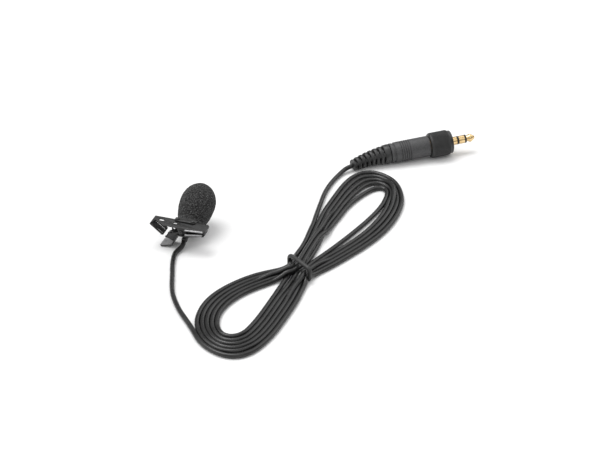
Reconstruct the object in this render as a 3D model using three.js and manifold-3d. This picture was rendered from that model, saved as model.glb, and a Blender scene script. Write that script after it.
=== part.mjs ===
// Lavalier microphone: an electret capsule under a foam windscreen, held by an alligator clip, with
// its thin cord tied in a hank and ending in a 3.5 mm plug with a screw-locking collar.
// Millimetres, +Z up. The clip stands on its thumb tab at z = 0, with its jaws towards +X.
// The origin is under the middle of the microphone and its clip.
import * as THREE from "three";
import { mergeVertices } from "three/addons/utils/BufferGeometryUtils.js";
import Module from "manifold-3d";

const wasm = await Module();
wasm.setup();

// ---- driving dimensions ----
const GAP = 0.3;

// clip, in its own profile plane: x from its left fold, z down from the top plate's upper face
const CLIP_LEFT = -11.6;
const CLIP_NEAR = -12.7;
const CLIP_TOP = 10.4;
const CLIP_LENGTH = 23.2;
const CLIP_WIDTH = 5.4;
const PLATE = 0.7;
const LEVER_SHEET = 0.65;
const PIVOT = { x: 13.2, z: -2.05 };
const PIN_RADIUS = 0.45;
const PIN_HOLE = 0.6;
const EAR_RADIUS = 1.05;

// microphone: its axis leans back and up from the ring that holds it
const RING = new THREE.Vector3(1.7, -5.0, 5.6);
const MIC_PITCH = THREE.MathUtils.degToRad(28);
const HOUSING_RADIUS = 3.0;
const HOUSING_END = 12.0;
const NECK_RADIUS = 1.9;
const FLANGE_RADIUS = 2.4;
const RING_RADIUS = 3.9;
const HOLDER_SHEET = 0.6;
const FOAM_START = 1.1;
const FOAM_WIDEST = 11.2;
const FOAM_END = 20.0;
const FOAM_RADIUS = 7.0;
const BOOT_END = -6.0;

// cord, hank and tie
const CORD = 1.9;
const HANK_HEIGHT = 3.5;
const WAIST = new THREE.Vector2(50.5, -14);
const WAIST_HALF = 5.7;
const TIE_ROD = 1.6;
const TIE_LENGTH = 14.6;
const TIE_HEIGHT = 6.7;
const TIE_TURN = THREE.MathUtils.degToRad(-34);

// plug: the rear of its straight axis, which way that points, and how far the strain relief sags from it
const PLUG_START = new THREE.Vector3(45.37, 67.77, 3.41);
const PLUG_HEADING = THREE.MathUtils.degToRad(34.5);
const PLUG_RISE = THREE.MathUtils.degToRad(3);
const RELIEF_SAG = new THREE.Vector3(1.43, -1.67, -1.01);
const RELIEF_END = 17.0;
const BODY_END = 34.4;
const COLLAR_END = 44.4;
const TIP_END = 55.2;
const BODY_RADIUS = 4.35;
const COLLAR_RADIUS = 5.25;
const JACK_RADIUS = 1.75;

// ---- materials ----
const paint = (color, roughness, metalness = 0) =>
  new THREE.MeshStandardMaterial({ color, roughness, metalness });
const BLACK_STEEL = paint(0x2b2b2c, 0.4, 0.6);
const SPRING_STEEL = paint(0x303032, 0.35, 0.7);
const BLACK_RUBBER = paint(0x262627, 0.6);
const CORD_PVC = paint(0x242425, 0.4);
const PLUG_PLASTIC = paint(0x4a4b4d, 0.55);
const FOAM = paint(0x3c3c3d, 1.0);
const BLACK_BRASS = paint(0x1d1d1e, 0.35, 0.5);
const STEEL = paint(0xb8babd, 0.3, 1.0);
const GOLD = paint(0xd8ae5c, 0.25, 1.0);
const BOARD = paint(0x2f5b3c, 0.6);
const NYLON = paint(0x151515, 0.5);
const PALE_FILM = paint(0xc9c6bb, 0.4);

// ---- geometry helpers ----
const turned = (pairs, segments = 24) => {
  const points = pairs.map(([radius, along]) => new THREE.Vector2(radius, along));
  if (THREE.ShapeUtils.area(points) < 0) points.reverse();
  return new THREE.LatheGeometry(points, segments);
};

const ring = (inner, outer, from, to) =>
  turned([[inner, from], [outer, from], [outer, to], [inner, to], [inner, from]]);

const rod = (radius, from, to, segments = 20) =>
  turned([[0, from], [radius, from], [radius, to], [0, to]], segments);

// a profile in the clip's x-z plane, extruded across the clip from y = near to y = far
const acrossClip = (shape, near, far, curveSegments = 8) => {
  const geometry = new THREE.ExtrudeGeometry(shape, {
    depth: far - near, bevelEnabled: false, curveSegments,
  });
  geometry.rotateX(Math.PI / 2);
  return geometry.translate(CLIP_LEFT, CLIP_NEAR + far, CLIP_TOP);
};

const block = (from, to) => {
  const size = to.map((value, axis) => value - from[axis]);
  return new THREE.BoxGeometry(...size).translate(...from.map((value, axis) => value + size[axis] / 2));
};

// the outline of a bent sheet: its upper line, and the same line moved to its underside
const bentSheet = (line, thickness) => {
  const points = line.map(([x, z]) => new THREE.Vector2(x, z));
  const under = points.map((point, index) => {
    const before = points[Math.max(index - 1, 0)];
    const after = points[Math.min(index + 1, points.length - 1)];
    const incoming = (index ? point.clone().sub(before) : after.clone().sub(point)).normalize();
    const outgoing = (index < points.length - 1 ? after.clone().sub(point) : incoming.clone()).normalize();
    const mitre = incoming.clone().add(outgoing).normalize();
    const side = new THREE.Vector2(mitre.y, -mitre.x);
    return point.clone().addScaledVector(side, thickness / Math.max(incoming.dot(mitre), 0.3));
  });
  return new THREE.Shape([...points, ...under.reverse()]);
};

const toSolid = (geometry) => {
  const plain = geometry.clone();
  plain.deleteAttribute("normal");
  plain.deleteAttribute("uv");
  const welded = mergeVertices(plain, 1e-4);
  return new wasm.Manifold(new wasm.Mesh({
    numProp: 3,
    vertProperties: new Float32Array(welded.attributes.position.array),
    triVerts: new Uint32Array(welded.index.array),
  }));
};

const toGeometry = (solid) => {
  const mesh = solid.getMesh();
  const geometry = new THREE.BufferGeometry();
  geometry.setAttribute("position", new THREE.BufferAttribute(new Float32Array(mesh.vertProperties), 3));
  geometry.setIndex(new THREE.BufferAttribute(new Uint32Array(mesh.triVerts), 1));
  geometry.computeVertexNormals();
  return geometry;
};

const join = (...geometries) =>
  toGeometry(geometries.map(toSolid).reduce((whole, part) => whole.add(part)));

const cut = (geometry, ...tools) =>
  toGeometry(tools.map(toSolid).reduce((rest, tool) => rest.subtract(tool), toSolid(geometry)));

const piece = (group, name, geometry, material) => {
  const mesh = new THREE.Mesh(geometry, material);
  mesh.name = name;
  group.add(mesh);
  return mesh;
};

const polygon = (points) => new THREE.Shape(points.map(([x, y]) => new THREE.Vector2(x, y)));

const circle = (x, z, radius) => {
  const path = new THREE.Shape();
  path.absarc(x, z, radius, 0, 2 * Math.PI);
  return path;
};

const slot = (x, y, length, width) => {
  const path = new THREE.Shape();
  const straight = (length - width) / 2;
  path.absarc(x + straight, y, width / 2, -Math.PI / 2, Math.PI / 2);
  path.absarc(x - straight, y, width / 2, Math.PI / 2, 1.5 * Math.PI);
  return path;
};

// a flat outline in x-y, extruded upwards from z = low to z = high
const upright = (shape, low, high, curveSegments = 6) =>
  new THREE.ExtrudeGeometry(shape, { depth: high - low, bevelEnabled: false, curveSegments })
    .translate(0, 0, low);

// ---- clip ----
const EAR_SHEET = 0.7;
const LEVER_EAR_SHEET = 0.6;
const LEVER_EAR_INSET = EAR_SHEET + GAP;
const RIVETS = [-3.2, 3.2].map((offset) => ({ x: RING.x - CLIP_LEFT + offset, y: 4.5 }));
const RIVET_HOLE = 0.5;

// a lug that hangs from the plate down to the pivot pin, with the pin's hole through it
const plateEar = (near) => {
  const shape = new THREE.Shape();
  shape.moveTo(PIVOT.x - 1.9, -PLATE / 2);
  shape.lineTo(PIVOT.x - EAR_RADIUS, PIVOT.z);
  shape.absarc(PIVOT.x, PIVOT.z, EAR_RADIUS, Math.PI, 2 * Math.PI);
  shape.lineTo(PIVOT.x + 2.2, -PLATE / 2);
  shape.holes.push(circle(PIVOT.x, PIVOT.z, PIN_HOLE));
  return acrossClip(shape, near, near + EAR_SHEET);
};

const topPlate = () => {
  const outline = polygon([
    [5.3, 0.4], [5.6, 0], [CLIP_LENGTH - 0.6, 0], [CLIP_LENGTH, 0.6], [CLIP_LENGTH, CLIP_WIDTH - 0.6],
    [CLIP_LENGTH - 0.6, CLIP_WIDTH], [1.8, CLIP_WIDTH], [1.8, 2.5],
  ]);
  outline.holes.push(slot(4.0, 3.3, 2.3, 1.1), slot(9.7, 3.0, 2.2, 1.0));
  RIVETS.forEach(({ x, y }) => outline.holes.push(circle(x, y, RIVET_HOLE)));
  const sheet = upright(outline, CLIP_TOP - PLATE, CLIP_TOP).translate(CLIP_LEFT, CLIP_NEAR, 0);
  const tooth = polygon([
    [CLIP_LENGTH - 1.9, -PLATE / 2], [CLIP_LENGTH - 1.1, -1.45], [CLIP_LENGTH - 0.4, -1.45],
    [CLIP_LENGTH - 0.1, -PLATE / 2],
  ]);
  const jawEnd = acrossClip(tooth, 0.4, CLIP_WIDTH - 0.4);
  return join(sheet, jawEnd, plateEar(0), plateEar(CLIP_WIDTH - EAR_SHEET));
};

// a short leg level with the plate, a tight fold, and a long slotted leg down to the lever's cross bar
const springLeaf = () => {
  const profile = polygon([
    [1.3, 0], [0.3, 0], [0, -0.25], [0.05, -0.5], [5.45, -4.92], [5.7, -4.61], [0.56, -0.4], [1.3, -0.4],
  ]);
  const window = polygon([[1.6, -1.2], [4.8, -3.8], [4.8, -5.0], [1.6, -2.4]]);
  const slots = [0.7, CLIP_WIDTH - 1.9].map((near) => acrossClip(window, near, near + 0.6));
  return cut(acrossClip(profile, 0, CLIP_WIDTH), ...slots);
};

// the lever's side wall: an arm to the cross bar, a lobe with a hole, and the lobe on the pin
const leverEar = (near) => {
  const shape = new THREE.Shape();
  shape.moveTo(9.5, -7.9);
  shape.lineTo(7.4, -6.6);
  shape.lineTo(6.0, -6.4);
  shape.lineTo(6.0, -5.85);
  shape.lineTo(7.1, -5.5);
  shape.absarc(8.7, -3.5, 0.9, Math.PI, -0.1 * Math.PI, true);
  shape.lineTo(11.7, -2.95);
  shape.absarc(PIVOT.x, PIVOT.z, EAR_RADIUS, Math.PI, 0, true);
  shape.lineTo(15.2, -3.3);
  shape.lineTo(15.0, -3.75);
  shape.lineTo(11.6, -3.8);
  shape.lineTo(11.1, -4.4);
  shape.holes.push(circle(8.7, -3.5, 0.5), circle(PIVOT.x, PIVOT.z, PIN_HOLE));
  return acrossClip(shape, near, near + LEVER_EAR_SHEET);
};

// thumb tab, ramp and lower jaw in one bent sheet, turned up along its far edge
const LEVER_LINE = [[3.9, -9.777], [9.0, -8.25], [11.3, -3.5], [15.1, -3.4], [21.4, -1.85], [22.6, -2.1]];
const lever = () => {
  const sheet = acrossClip(bentSheet(LEVER_LINE, LEVER_SHEET), 0, CLIP_WIDTH);
  const lip = polygon([[15.3, -3.7], [15.3, -2.75], [21.0, -1.4], [21.6, -2.2]]);
  const tab = polygon([[4.1, -9.9], [4.3, -8.8], [8.6, -7.5], [9.3, -8.4]]);
  const bar = polygon([[6.0, -6.4], [7.0, -6.4], [7.0, -5.8], [6.0, -5.85]]);
  return join(
    sheet,
    acrossClip(lip, CLIP_WIDTH - 0.6, CLIP_WIDTH),
    acrossClip(tab, CLIP_WIDTH - 0.6, CLIP_WIDTH),
    acrossClip(bar, LEVER_EAR_INSET + 0.1, CLIP_WIDTH - LEVER_EAR_INSET - 0.1),
    leverEar(LEVER_EAR_INSET),
    leverEar(CLIP_WIDTH - LEVER_EAR_INSET - LEVER_EAR_SHEET),
  );
};

const pivotPin = () => turned([
  [0, -0.6], [0.85, -0.5], [0.85, -0.15], [PIN_RADIUS, -0.15], [PIN_RADIUS, CLIP_WIDTH + 0.1],
  [0, CLIP_WIDTH + 0.1],
], 20).translate(CLIP_LEFT + PIVOT.x, CLIP_NEAR, CLIP_TOP + PIVOT.z);

// ---- microphone frame: local +Y runs along the microphone's axis, from its cord to its tip ----
const microphone = new THREE.Group();
microphone.position.copy(RING);
microphone.rotation.x = MIC_PITCH;
microphone.updateMatrixWorld(true);

// a flange on the top plate, a strip down past the plate's far edge, and the slanted ring plate
const HOLDER_BOTTOM = CLIP_TOP + 0.15;
const HOLDER_HALF = 4.3;
const ringHolder = () => {
  const far = CLIP_NEAR + CLIP_WIDTH + GAP;
  const near = CLIP_NEAR + 3.6;
  const top = HOLDER_BOTTOM + HOLDER_SHEET;
  const flange = block([RING.x - HOLDER_HALF, near, HOLDER_BOTTOM], [RING.x + HOLDER_HALF, far + 0.1, top]);
  const strip = block([RING.x - 3.2, far, 8.4], [RING.x + 3.2, far + HOLDER_SHEET, top]);
  const back = -0.25;
  const front = back + 0.7;
  const plate = rod(RING_RADIUS, back, front, 28);
  const hole = rod(NECK_RADIUS + 0.25, back - 1, front + 1);
  const mouth = block([-1.5, back - 1, -RING_RADIUS - 1], [1.5, front + 1, 0]);
  const ringPlate = cut(plate, hole, mouth).applyMatrix4(microphone.matrixWorld);
  const rivetHoles = RIVETS.map(({ x, y }) => new THREE.CylinderGeometry(RIVET_HOLE, RIVET_HOLE, 4, 16)
    .rotateX(Math.PI / 2)
    .translate(CLIP_LEFT + x, CLIP_NEAR + y, top));
  return cut(join(flange, strip, ringPlate), ...rivetHoles);
};

// a round head, a shank through both sheets, and a flat head under the top plate
const rivet = ({ x, y }) => {
  const top = HOLDER_SHEET + 0.3;
  return turned([
    [0, -PLATE - 0.45], [0.6, -PLATE - 0.4], [0.6, -PLATE - 0.15], [0.3, -PLATE - 0.15], [0.3, top],
    [0.8, top], [0.75, top + 0.2], [0.5, top + 0.35], [0, top + 0.42],
  ], 16).rotateX(Math.PI / 2).translate(CLIP_LEFT + x, CLIP_NEAR + y, CLIP_TOP);
};

const clip = new THREE.Group();
piece(clip, "clip_top_plate", topPlate(), BLACK_STEEL);
piece(clip, "clip_spring_leaf", springLeaf(), SPRING_STEEL);
piece(clip, "clip_lever", lever(), BLACK_STEEL);
piece(clip, "clip_pivot_pin", pivotPin(), STEEL);
piece(clip, "mic_holder_ring", ringHolder(), BLACK_STEEL);
RIVETS.forEach((place, index) => piece(clip, `holder_rivet_${index + 1}`, rivet(place), STEEL));

// ---- microphone ----
const foamRadius = (along) => {
  const reach = along < FOAM_WIDEST ? FOAM_WIDEST - FOAM_START + 2.5 : FOAM_END - FOAM_WIDEST;
  return FOAM_RADIUS * Math.sqrt(Math.max(1 - ((along - FOAM_WIDEST) / reach) ** 2, 0));
};

const windscreen = () => {
  const bore = HOUSING_RADIUS + GAP;
  const floor = HOUSING_END + 0.8;
  const profile = [[0, floor], [bore - 0.6, floor - 0.3], [bore, HOUSING_END], [bore, FOAM_START]];
  const steps = 14;
  for (let step = 0; step <= steps; step += 1) {
    const along = FOAM_START + (FOAM_END - FOAM_START) * Math.sin((step / steps) * Math.PI / 2);
    profile.push([foamRadius(along), along]);
  }
  return turned(profile, 32);
};

const housing = () => turned([
  [1.2, -1.05], [FLANGE_RADIUS, -1.05], [FLANGE_RADIUS, -0.55], [NECK_RADIUS, -0.55], [NECK_RADIUS, 0.8],
  [HOUSING_RADIUS, 0.8], [HOUSING_RADIUS, HOUSING_END], [2.6, HOUSING_END], [2.6, 1.5], [1.2, 1.5],
  [1.2, -1.05],
], 28);

const frontGrille = () => {
  const disc = new THREE.Shape();
  disc.absarc(0, 0, 2.35, 0, 2 * Math.PI);
  disc.holes.push(circle(0, 0, 0.4));
  for (let hole = 0; hole < 6; hole += 1) {
    const angle = (hole / 6) * 2 * Math.PI;
    disc.holes.push(circle(1.35 * Math.cos(angle), 1.35 * Math.sin(angle), 0.4));
  }
  return upright(disc, 11.2, 11.8).rotateX(-Math.PI / 2);
};

const elementCan = () => turned([
  [0.6, 10.1], [0.6, 10.4], [2.3, 10.4], [2.3, 6.0], [2.0, 6.0], [2.0, 10.1], [0.6, 10.1],
]);

const diaphragm = () => turned([[0, 9.4], [1.7, 9.4], [1.7, 9.8], [1.35, 9.8], [1.35, 9.52], [0, 9.52]]);

const cableBoot = () => turned([
  [0, BOOT_END], [1.05, BOOT_END], [1.2, BOOT_END + 0.5], [1.2, -1.35], [0.95, -1.35], [0.95, 1.8],
  [1.9, 1.8], [1.9, 2.4], [0, 2.4],
]);

piece(microphone, "foam_windscreen", windscreen(), FOAM);
piece(microphone, "capsule_housing", housing(), BLACK_BRASS);
piece(microphone, "front_grille", frontGrille(), STEEL);
piece(microphone, "acoustic_cloth", rod(2.3, 10.7, 10.9), NYLON);
piece(microphone, "element_can", elementCan(), STEEL);
piece(microphone, "diaphragm", diaphragm(), PALE_FILM);
piece(microphone, "backplate", rod(1.7, 8.6, 9.0), GOLD);
piece(microphone, "circuit_board", rod(1.7, 6.2, 6.7), BOARD);
piece(microphone, "transistor", block([-0.7, 7.0, -0.5], [0.7, 7.8, 0.5]), NYLON);
piece(microphone, "rear_gasket", ring(1.4, 2.3, 4.6, 5.6), BLACK_RUBBER);
piece(microphone, "cable_crimp", ring(0.5, 1.1, 2.8, 4.2), STEEL);
piece(microphone, "cable_boot", cableBoot(), BLACK_RUBBER);

// ---- hank and tie ----
// Each loop is a teardrop that starts at the waist. lean points to its tip, half is its half width,
// bow pushes its middle sideways, and gather says how soon the waist's width is used up.
const UPPER = { lean: new THREE.Vector2(6.8, 81.6), half: 19.2, bow: 6.2, gather: 9 };
const LOWER = { lean: new THREE.Vector2(-10.2, -58.3), half: 19.2, bow: -6.2, gather: 2 };

const loopPoint = (loop, turn) => {
  const along = (1 - Math.cos(turn)) / 2;
  const side = Math.sign(Math.PI - turn);
  const swell = 2 * along * Math.sqrt(Math.max(1 - along, 0));
  const waist = WAIST_HALF * (1 - along) ** loop.gather * Math.min(1, 6 * (1 - along));
  const across = side * (loop.half * swell + waist) + loop.bow * Math.sin(turn) ** 2;
  const normal = new THREE.Vector2(Math.abs(loop.lean.y), -loop.lean.x * Math.sign(loop.lean.y)).normalize();
  return WAIST.clone().addScaledVector(loop.lean, along).addScaledVector(normal, across);
};

const hankOutline = () => {
  const points = [];
  const steps = 22;
  [UPPER, LOWER].forEach((loop) => {
    for (let step = 1; step < steps; step += 1) {
      const turn = (step / steps) * 2 * Math.PI;
      points.push(loopPoint(loop, loop === UPPER ? turn : 2 * Math.PI - turn));
    }
  });
  return new THREE.Shape(points);
};

const UPPER_HOLE = [
  [54.0, 10], [53.8, 21], [55.8, 35], [60.4, 48.5], [65.9, 56.6], [67.2, 50], [63.2, 35], [57.8, 20],
];
const LOWER_HOLE = [
  [44.6, -27], [36.0, -37.5], [31.6, -48], [36.2, -58.6], [41.6, -59.4], [45.4, -48], [45.9, -34],
];
const hole = (points) => {
  const path = new THREE.Path();
  const closed = [...points, points[0]].map(([x, y]) => new THREE.Vector2(x, y));
  path.moveTo(closed[0].x, closed[0].y);
  path.splineThru(closed.slice(1));
  return path;
};

const tieBlock = (length, thickness, low, high) =>
  block([-length / 2, -thickness / 2, low], [length / 2, thickness / 2, high])
    .rotateZ(TIE_TURN)
    .translate(WAIST.x, WAIST.y, 0);

const twistTie = () => cut(
  tieBlock(TIE_LENGTH, TIE_ROD, 0, TIE_HEIGHT),
  tieBlock(TIE_LENGTH - 2 * TIE_ROD, 2 * TIE_ROD, TIE_ROD, TIE_HEIGHT - TIE_ROD),
);

const hank = () => {
  const outline = hankOutline();
  outline.holes.push(hole(UPPER_HOLE), hole(LOWER_HOLE));
  const loops = upright(outline, 0, HANK_HEIGHT, 2);
  const humpHigh = TIE_HEIGHT - TIE_ROD - GAP;
  const profile = polygon([[-11, 1], [-4, humpHigh], [4, humpHigh], [11, 1]]);
  const hump = new THREE.ExtrudeGeometry(profile, { depth: 2 * WAIST_HALF - 2, bevelEnabled: false })
    .translate(0, 0, 1 - WAIST_HALF)
    .rotateX(Math.PI / 2)
    .rotateZ(THREE.MathUtils.degToRad(82))
    .translate(WAIST.x, WAIST.y, 0);
  const inside = TIE_LENGTH - 2 * TIE_ROD - 2 * GAP;
  const around = cut(
    tieBlock(TIE_LENGTH + 2 * GAP, TIE_ROD + 2 * GAP, -1, TIE_HEIGHT + 1),
    tieBlock(inside, 3 * TIE_ROD, TIE_ROD + GAP, humpHigh),
  );
  return cut(join(loops, hump), around);
};

// ---- cord outside the hank ----
const LYING = CORD / 2 + 0.05;
const MIC_LEAD = [
  [0.5, -16.2, LYING], [1.2, -20.2, LYING], [2.7, -24.8, LYING], [5.1, -30.9, LYING], [7.5, -37.1, LYING],
  [10.1, -42.6, LYING], [13.3, -47.4, LYING], [16.8, -51.8, LYING], [20.4, -55.5, LYING],
  [23.2, -58.2, LYING],
];
const PLUG_LEAD = [
  [45.6, -5.4, LYING], [45.7, -1.5, LYING], [46.2, 3.0, LYING], [46.3, 8.9, LYING], [45.3, 18.8, LYING],
  [43.9, 27.0, LYING], [42.7, 36.0, LYING], [41.8, 45.0, LYING], [42.0, 52.5, LYING], [43.0, 59.0, 1.1],
];

const cordTube = (points, steps) => {
  const section = new THREE.Shape();
  for (let side = 0; side < 8; side += 1) {
    const angle = (side / 8) * 2 * Math.PI;
    const corner = [(CORD / 2) * Math.cos(angle), (CORD / 2) * Math.sin(angle)];
    if (side === 0) section.moveTo(...corner);
    else section.lineTo(...corner);
  }
  const extrudePath = new THREE.CatmullRomCurve3(points, false, "centripetal");
  return new THREE.ExtrudeGeometry(section, { steps, extrudePath, bevelEnabled: false });
};

const MIC_AXIS = new THREE.Vector3(0, Math.cos(MIC_PITCH), Math.sin(MIC_PITCH));
const PLUG_AXIS = new THREE.Vector3().setFromSphericalCoords(1, Math.PI / 2 - PLUG_RISE, 0);
PLUG_AXIS.set(PLUG_AXIS.z * Math.cos(PLUG_HEADING), PLUG_AXIS.z * Math.sin(PLUG_HEADING), PLUG_AXIS.y);
const RELIEF_SLOPE = (2 * RELIEF_SAG.length()) / RELIEF_END;
const RELIEF_REAR = PLUG_START.clone().add(RELIEF_SAG);
const REAR_AXIS = PLUG_AXIS.clone()
  .addScaledVector(RELIEF_SAG.clone().normalize(), -RELIEF_SLOPE)
  .normalize();
const vectors = (points) => points.map((point) => new THREE.Vector3(...point));

const micLead = () => {
  const boot = RING.clone().addScaledVector(MIC_AXIS, BOOT_END);
  const start = [-GAP, -2.2].map((along) => boot.clone().addScaledVector(MIC_AXIS, along));
  return cordTube([...start, ...vectors(MIC_LEAD)], 16);
};

const plugLead = () => {
  const end = [-3.2, -1.6, -GAP].map((along) => RELIEF_REAR.clone().addScaledVector(REAR_AXIS, along));
  return cordTube([...vectors(PLUG_LEAD), ...end], 18);
};

const cord = new THREE.Group();
piece(cord, "mic_lead", micLead(), CORD_PVC);
piece(cord, "hank", hank(), CORD_PVC);
piece(cord, "plug_lead", plugLead(), CORD_PVC);
piece(cord, "twist_tie", twistTie(), BLACK_RUBBER);

// ---- plug: local +Y runs along its axis, from its cord to its tip ----
const plug = new THREE.Group();
plug.position.copy(PLUG_START);
plug.quaternion.setFromUnitVectors(new THREE.Vector3(0, 1, 0), PLUG_AXIS);

// bends the relief's rear towards the sag: each section moves sideways and tips with the curve's slope
const SAG_DIRECTION = RELIEF_SAG.clone().normalize().applyQuaternion(plug.quaternion.clone().invert());
const bentRear = (geometry) => {
  const point = new THREE.Vector3();
  const { position } = geometry.attributes;
  for (let index = 0; index < position.count; index += 1) {
    point.fromBufferAttribute(position, index);
    const share = 1 - point.y / RELIEF_END;
    const tilt = Math.atan(RELIEF_SLOPE * share);
    const side = point.x * SAG_DIRECTION.x + point.z * SAG_DIRECTION.z;
    point.addScaledVector(SAG_DIRECTION, RELIEF_SAG.length() * share ** 2 + side * (Math.cos(tilt) - 1));
    point.y += side * Math.sin(tilt);
    position.setXYZ(index, point.x, point.y, point.z);
  }
  return geometry;
};

const RIBS = 7;
const RIB_PITCH = 2.2;
const strainRelief = () => {
  const radius = (along) => 2.35 + 1.85 * (along / RELIEF_END);
  const profile = [[0, 0], [radius(0), 0]];
  for (let rib = 0; rib < RIBS; rib += 1) {
    const from = 0.8 + rib * RIB_PITCH;
    const to = from + 0.6;
    profile.push([radius(from), from], [radius(from) - 0.5, from + 0.05]);
    profile.push([radius(to) - 0.5, to - 0.05], [radius(to), to]);
  }
  profile.push([radius(RELIEF_END), RELIEF_END], [0, RELIEF_END]);
  return bentRear(turned(profile, 20));
};

const plugBody = () => {
  const start = RELIEF_END + GAP;
  const profile = [[3.6, start], [BODY_RADIUS - 0.2, start], [BODY_RADIUS - 0.2, start + 1.2]];
  profile.push([BODY_RADIUS - 0.5, start + 1.3], [BODY_RADIUS - 0.5, start + 1.8]);
  profile.push([BODY_RADIUS, start + 2.0]);
  for (let groove = 0; groove < 5; groove += 1) {
    const along = start + 4.5 + groove;
    profile.push([BODY_RADIUS, along], [BODY_RADIUS - 0.25, along + 0.2], [BODY_RADIUS, along + 0.4]);
  }
  profile.push([BODY_RADIUS, BODY_END], [2.6, BODY_END], [2.6, BODY_END - 1], [3.6, BODY_END - 1]);
  profile.push([3.6, start]);
  return turned(profile, 28);
};

const lockingCollar = () => turned([
  [2.75, 34.7], [4.6, 34.7], [COLLAR_RADIUS, 35.35], [COLLAR_RADIUS, 43.1], [4.85, 43.5], [4.85, COLLAR_END],
  [3.9, COLLAR_END], [3.9, 38.4], [3.65, 38.4], [3.65, 35.4], [2.75, 35.4], [2.75, 34.7],
], 32);

const sleeveContact = () => turned([
  [1.35, 31.0], [2.35, 31.0], [2.35, 35.7], [3.3, 35.7], [3.3, 36.7], [JACK_RADIUS, 36.7],
  [JACK_RADIUS, 47.0], [1.35, 47.0], [1.35, 31.0],
]);

// a contact or insulator of the plug: a washer between two places, with a thinner tail to the rear
const stackedRing = (inner, tail, from, to, rear) => turned([
  [inner, rear], [tail, rear], [tail, from], [JACK_RADIUS, from], [JACK_RADIUS, to], [inner, to],
  [inner, rear],
]);

const tipContact = () => turned([
  [0, 26.0], [0.35, 26.0], [0.35, 51.4], [1.2, 51.4], [1.35, 51.9], [JACK_RADIUS, 53.0], [1.55, 53.6],
  [0.7, TIP_END - 0.3], [0, TIP_END],
]);

const solderLug = (side) => block([side * 1.6 - 0.9, 25.0, -0.2], [side * 1.6 + 0.9, 28.0, 0.2]);

piece(plug, "strain_relief", strainRelief(), BLACK_RUBBER);
piece(plug, "plug_body", plugBody(), PLUG_PLASTIC);
piece(plug, "locking_collar", lockingCollar(), BLACK_BRASS);
piece(plug, "retaining_ring", ring(2.6, 3.4, 31.4, 33.0), STEEL);
piece(plug, "sleeve_contact", sleeveContact(), GOLD);
piece(plug, "ring_insulator", stackedRing(1.1, 1.22, 47.15, 47.7, 30.0), NYLON);
piece(plug, "ring_contact", stackedRing(0.8, 0.98, 47.85, 50.4, 28.5), GOLD);
piece(plug, "tip_insulator", stackedRing(0.48, 0.68, 50.55, 51.2, 27.0), NYLON);
piece(plug, "tip_contact", tipContact(), GOLD);
piece(plug, "solder_lug_1", solderLug(-1), STEEL);
piece(plug, "solder_lug_2", solderLug(1), STEEL);
piece(plug, "plug_cable_clamp", ring(1.1, 1.9, 19.5, 23.5), STEEL);

const model = new THREE.Group();
model.add(clip, microphone, cord, plug);
export default model;
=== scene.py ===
"""Looks of the lavalier microphone: its clip, windscreen, hanked cord and locking plug.
Lengths named here are in millimetres, and mm() turns them into Blender's metres."""
import math

import bmesh
import bpy
import numpy as np
from mathutils import Matrix, Vector, noise


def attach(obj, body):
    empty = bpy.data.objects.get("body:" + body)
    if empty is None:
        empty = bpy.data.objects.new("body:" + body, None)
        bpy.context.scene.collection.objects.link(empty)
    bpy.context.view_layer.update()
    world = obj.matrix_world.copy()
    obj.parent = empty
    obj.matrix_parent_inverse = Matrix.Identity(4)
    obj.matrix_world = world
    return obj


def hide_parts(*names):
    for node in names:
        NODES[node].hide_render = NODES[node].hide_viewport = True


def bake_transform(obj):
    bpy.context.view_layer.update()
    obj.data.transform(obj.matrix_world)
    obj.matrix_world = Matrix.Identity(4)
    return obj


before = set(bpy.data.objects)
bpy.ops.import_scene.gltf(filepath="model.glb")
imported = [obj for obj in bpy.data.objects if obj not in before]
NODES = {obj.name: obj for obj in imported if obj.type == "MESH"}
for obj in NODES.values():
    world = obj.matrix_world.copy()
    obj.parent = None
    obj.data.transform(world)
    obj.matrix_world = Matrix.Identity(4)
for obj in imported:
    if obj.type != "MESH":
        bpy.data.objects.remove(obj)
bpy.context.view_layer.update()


def mm(*values):
    return Vector([value / 1000 for value in values])


# ---- driving dimensions, the same as the model's ----
CLIP_LEFT, CLIP_NEAR, CLIP_TOP = -11.6, -12.7, 10.4
CLIP_LENGTH, CLIP_WIDTH = 23.2, 5.4
RING = Vector((1.7, -5.0, 5.6))
MIC_PITCH = math.radians(28)
MIC_AXIS = Vector((0, math.cos(MIC_PITCH), math.sin(MIC_PITCH)))
BOOT_END = -6.0
CORD = 1.9
LYING = CORD / 2 + 0.05
PLUG_START = Vector((45.37, 67.77, 3.41))
PLUG_HEADING = math.radians(34.5)
PLUG_RISE = math.radians(3)
PLUG_AXIS = Vector((
    math.cos(PLUG_RISE) * math.cos(PLUG_HEADING),
    math.cos(PLUG_RISE) * math.sin(PLUG_HEADING),
    math.sin(PLUG_RISE),
))
RELIEF_END = 17.0
RELIEF_SAG = Vector((1.43, -1.67, -1.01))
SAG_AXIS = RELIEF_SAG.normalized()
RELIEF_SLOPE = 2 * RELIEF_SAG.length / RELIEF_END
RELIEF_REAR = PLUG_START + RELIEF_SAG
REAR_AXIS = (PLUG_AXIS - SAG_AXIS * RELIEF_SLOPE).normalized()
WAIST = np.array([50.5, -14.0])
TIE_ROD, TIE_LENGTH, TIE_HEIGHT = 1.6, 14.6, 6.7
TIE_TURN = math.radians(-34)

# ---- camera: at the photograph's height and distance, looking between the clip and the hank ----
LOOK_AT = Vector((42.5, 16.4, 0))
CAMERA_TURN = math.radians(18.5)
CAMERA_HEIGHT = math.radians(33)
CAMERA_DISTANCE = 686
CAMERA_VIEW = math.radians(20)


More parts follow.
